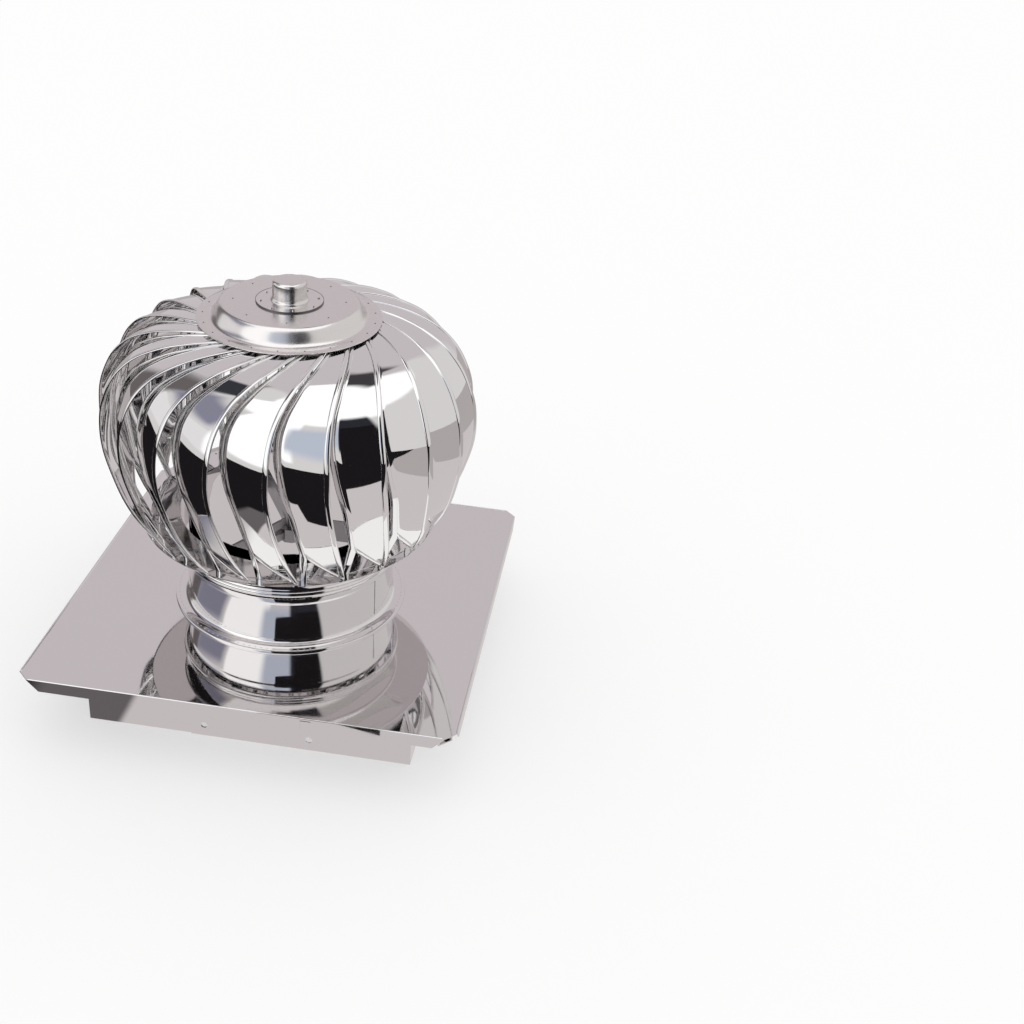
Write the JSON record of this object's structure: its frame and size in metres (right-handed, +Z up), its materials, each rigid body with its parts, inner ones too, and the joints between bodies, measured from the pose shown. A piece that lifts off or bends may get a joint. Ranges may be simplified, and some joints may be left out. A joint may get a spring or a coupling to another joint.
{
  "type": "chimney cap",
  "caption": "Rotating turbine chimney cap: curved vanes on a round throat over a square flashing plate with an adjustable clamping skirt.",
  "frame": {"origin": "middle of the square footprint, at the free lower edge of the skirt, on which the cap stands", "axes": "+Z up along the turbine's axis, -Y the front of the picture's left view, +X to its right; the plate's sides are parallel to X and Y"},
  "size_m": [0.4, 0.4, 0.401],
  "materials": {
    "polished_steel": "mirror-polished stainless sheet, slightly wavy",
    "satin_steel": "satin stainless sheet, drawn and spun",
    "bar_steel": "dull rolled bar",
    "zinc_plated": "bright bluish zinc plating",
    "weld_metal": "grainy as-welded metal",
    "bearing_steel": "ground bearing steel"
  },
  "bodies": {
    "base": {"base_plate": "polished_steel", "throat_collar": "polished_steel", "rail_front_right": "polished_steel", "rail_back_right": "polished_steel", "rail_back_left": "polished_steel", "rail_front_left": "polished_steel", "support_arm_1": "bar_steel", "support_arm_2": "bar_steel", "support_arm_3": "bar_steel", "hub_weld": "weld_metal", "arm_bolts": "zinc_plated", "arm_nuts": "zinc_plated", "spindle": "bar_steel", "spindle_nut": "zinc_plated", "spindle_washer": "zinc_plated", "bearing_inner_rings": "bearing_steel", "bearing_sleeve": "bar_steel"},
    "turbine": {"turbine_ring": "polished_steel", "vane_01": "polished_steel", "vane_02": "polished_steel", "vane_03": "polished_steel", "vane_04": "polished_steel", "vane_05": "polished_steel", "vane_06": "polished_steel", "vane_07": "polished_steel", "vane_08": "polished_steel", "vane_09": "polished_steel", "vane_10": "polished_steel", "vane_11": "polished_steel", "vane_12": "polished_steel", "vane_13": "polished_steel", "vane_14": "polished_steel", "vane_15": "polished_steel", "vane_16": "polished_steel", "vane_17": "polished_steel", "vane_18": "polished_steel", "vane_19": "polished_steel", "vane_20": "polished_steel", "vane_21": "polished_steel", "top_disc": "satin_steel", "hub_disc": "satin_steel", "bearing_housing": "bar_steel", "bearing_outer_rings": "bearing_steel", "dust_cap": "satin_steel", "hub_rivets": "satin_steel"},
    "corner_front_right": {"skirt_front_right": "polished_steel", "clamp_bolt_front_right": "zinc_plated", "clamp_nut_front_right": "zinc_plated"},
    "corner_back_right": {"skirt_back_right": "polished_steel", "clamp_bolt_back_right": "zinc_plated", "clamp_nut_back_right": "zinc_plated"},
    "corner_back_left": {"skirt_back_left": "polished_steel", "clamp_bolt_back_left": "zinc_plated", "clamp_nut_back_left": "zinc_plated"},
    "corner_front_left": {"skirt_front_left": "polished_steel", "clamp_bolt_front_left": "zinc_plated", "clamp_nut_front_left": "zinc_plated"}
  },
  "joints": [
    {"name": "turbine_spin", "type": "hinge", "parent": "base", "child": "turbine", "pos_m": [0, 0, 0.2], "axis": [0, 0, 1], "continuous": true},
    {"name": "skirt_slide_front_right", "type": "slide", "parent": "base", "child": "corner_front_right", "axis": [0.7071, -0.7071, 0], "range_m": [-0.055, 0.022]},
    {"name": "skirt_slide_back_right", "type": "slide", "parent": "base", "child": "corner_back_right", "axis": [0.7071, 0.7071, 0], "range_m": [-0.055, 0.022]},
    {"name": "skirt_slide_back_left", "type": "slide", "parent": "base", "child": "corner_back_left", "axis": [-0.7071, 0.7071, 0], "range_m": [-0.055, 0.022]},
    {"name": "skirt_slide_front_left", "type": "slide", "parent": "base", "child": "corner_front_left", "axis": [-0.7071, -0.7071, 0], "range_m": [-0.055, 0.022]}
  ],
  "couplings": [
    {"joint": "skirt_slide_back_right", "follows": "skirt_slide_front_right", "ratio": 1},
    {"joint": "skirt_slide_back_left", "follows": "skirt_slide_front_right", "ratio": 1},
    {"joint": "skirt_slide_front_left", "follows": "skirt_slide_front_right", "ratio": 1}
  ]
}
